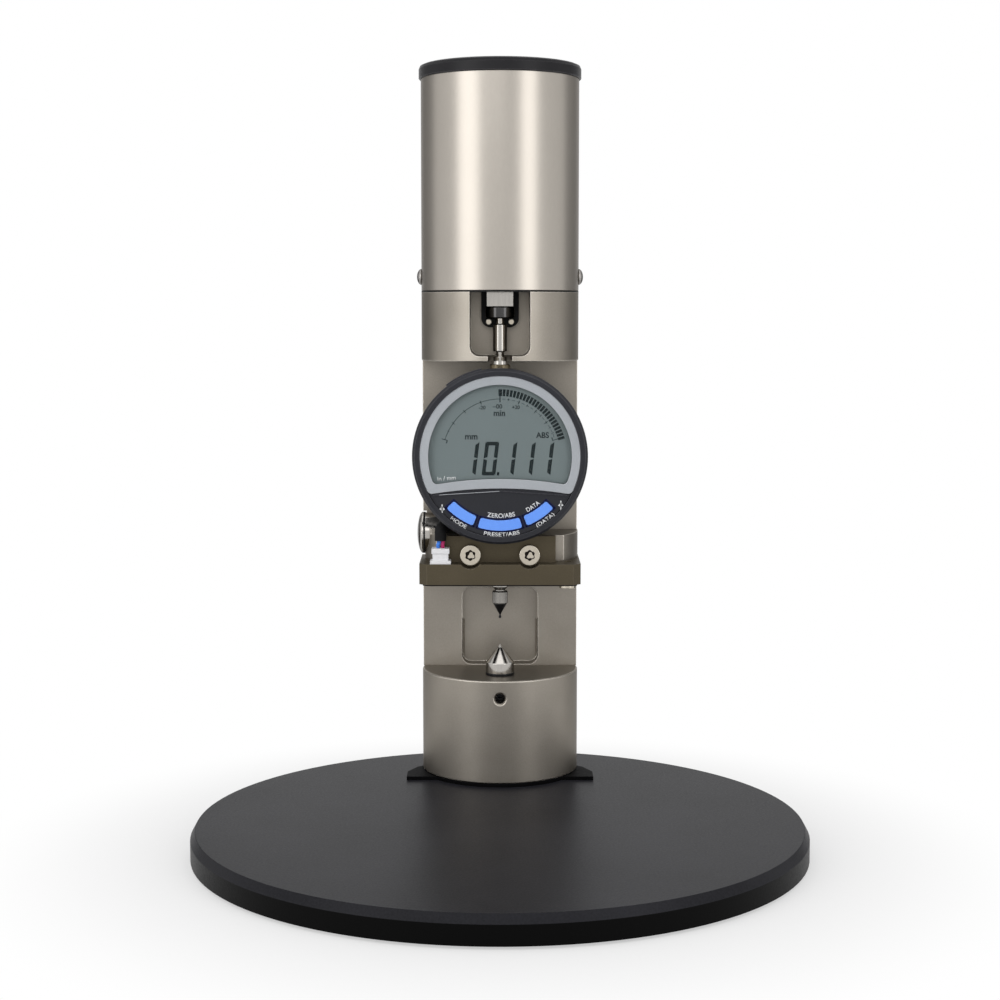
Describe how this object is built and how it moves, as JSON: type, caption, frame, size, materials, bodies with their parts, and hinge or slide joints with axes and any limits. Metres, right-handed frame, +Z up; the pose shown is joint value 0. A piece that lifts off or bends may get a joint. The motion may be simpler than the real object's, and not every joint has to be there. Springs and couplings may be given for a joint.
{
  "type": "crimp height gauge",
  "caption": "Bench crimp height gauge: digital indicator on a round column over a pointed anvil, with a motor lift, on a round base.",
  "frame": {"origin": "centre of the underside of the round base, at the bottom of its rubber feet", "axes": "+Z up; the dial faces -Y; +X to the right as seen from the front"},
  "size_m": [0.198, 0.198, 0.258],
  "materials": {
    "blasted_nickel": "bead blasted satin nickel",
    "brushed_tube": "fine lengthwise brush",
    "black_coat": "fine textured black coat",
    "bronze_anodised": "dark bronze anodised",
    "black_plastic": "fine moulded texture",
    "dark_plastic": "fine moulded texture",
    "silver_plastic": "silver paint",
    "blue_plastic": "smooth moulded",
    "white_plastic": "smooth moulded",
    "clear": "clear",
    "display_grey": "display cell",
    "polished_steel": "ground and polished",
    "screw_steel": "nickel plated",
    "dark_steel": "blackened steel",
    "bronze": "sintered bronze",
    "rubber": "matte rubber",
    "board_green": "solder mask",
    "wire_mixed": "wire insulation"
  },
  "bodies": {
    "frame": {"anvil_ring": "dark_steel", "base_plate": "black_coat", "base_screws": "screw_steel", "bracket_screws": "screw_steel", "cable_sleeve": "rubber", "column_backbone": "blasted_nickel", "column_foot": "blasted_nickel", "column_head": "blasted_nickel", "connector_plug": "white_plastic", "connector_socket": "white_plastic", "control_board": "board_green", "cover_screws": "screw_steel", "detector_board": "board_green", "foot_plate": "black_coat", "gauge_back": "dark_plastic", "gauge_back_screws": "screw_steel", "gauge_case": "dark_plastic", "gauge_stem": "polished_steel", "gear_motor": "screw_steel", "guide_pins": "polished_steel", "guide_plate": "black_plastic", "head_screws": "screw_steel", "holder_screws": "screw_steel", "lamp_board": "board_green", "lamp_bracket": "bronze_anodised", "lamp_cover": "black_plastic", "lamp_screws": "screw_steel", "lamp_wires": "wire_mixed", "limit_switches": "black_plastic", "lower_anvil": "polished_steel", "motor_plate": "screw_steel", "motor_posts": "polished_steel", "power_socket": "black_plastic", "rubber_feet": "rubber", "set_screws": "screw_steel", "start_bezel": "polished_steel", "start_housing": "polished_steel", "start_seal": "black_plastic", "stem_holder": "blasted_nickel", "top_bush": "bronze", "top_cap": "black_coat", "top_cover": "brushed_tube"},
    "spindle": {"spindle": "polished_steel", "contact_body": "polished_steel", "contact_tip": "dark_steel", "lift_rod": "polished_steel", "lift_nut": "dark_steel", "lift_block": "polished_steel", "scale_carrier": "screw_steel"},
    "display": {"bezel_ring": "dark_plastic", "face_panel": "dark_plastic", "display_frame": "silver_plastic", "display_glass": "clear", "lcd_panel": "display_grey", "display_board": "board_green"},
    "mode_button": {"mode_button": "blue_plastic"},
    "zero_button": {"zero_button": "blue_plastic"},
    "data_button": {"data_button": "blue_plastic"},
    "start_cap": {"start_cap": "polished_steel"},
    "drive": {"lead_screw": "polished_steel"}
  },
  "joints": [
    {"name": "spindle_lift", "type": "slide", "parent": "frame", "child": "spindle", "axis": [0, 0, 1], "range_m": [-0.009, 0.0035]},
    {"name": "drive_turn", "type": "hinge", "parent": "frame", "child": "drive", "pos_m": [0, 0.0553, 0.2], "axis": [0, 0, 1], "range_deg": [-660, 270]},
    {"name": "display_turn", "type": "hinge", "parent": "frame", "child": "display", "pos_m": [0, 0.0553, 0.1245], "axis": [0, 1, 0], "range_deg": [-90, 240]},
    {"name": "mode_button_press", "type": "slide", "parent": "display", "child": "mode_button", "axis": [0, 1, 0], "range_m": [0, 0.0005], "stiffness_N_per_m": 500, "springref_m": -0.0005},
    {"name": "zero_button_press", "type": "slide", "parent": "display", "child": "zero_button", "axis": [0, 1, 0], "range_m": [0, 0.0005], "stiffness_N_per_m": 500, "springref_m": -0.0005},
    {"name": "data_button_press", "type": "slide", "parent": "display", "child": "data_button", "axis": [0, 1, 0], "range_m": [0, 0.0005], "stiffness_N_per_m": 500, "springref_m": -0.0005},
    {"name": "start_press", "type": "slide", "parent": "frame", "child": "start_cap", "axis": [1, 0, 0], "range_m": [0, 0.0012], "stiffness_N_per_m": 500, "springref_m": -0.0005}
  ],
  "couplings": [
    {"joint": "drive_turn", "follows": "spindle_lift", "rad_per_m": 1256.6}
  ]
}
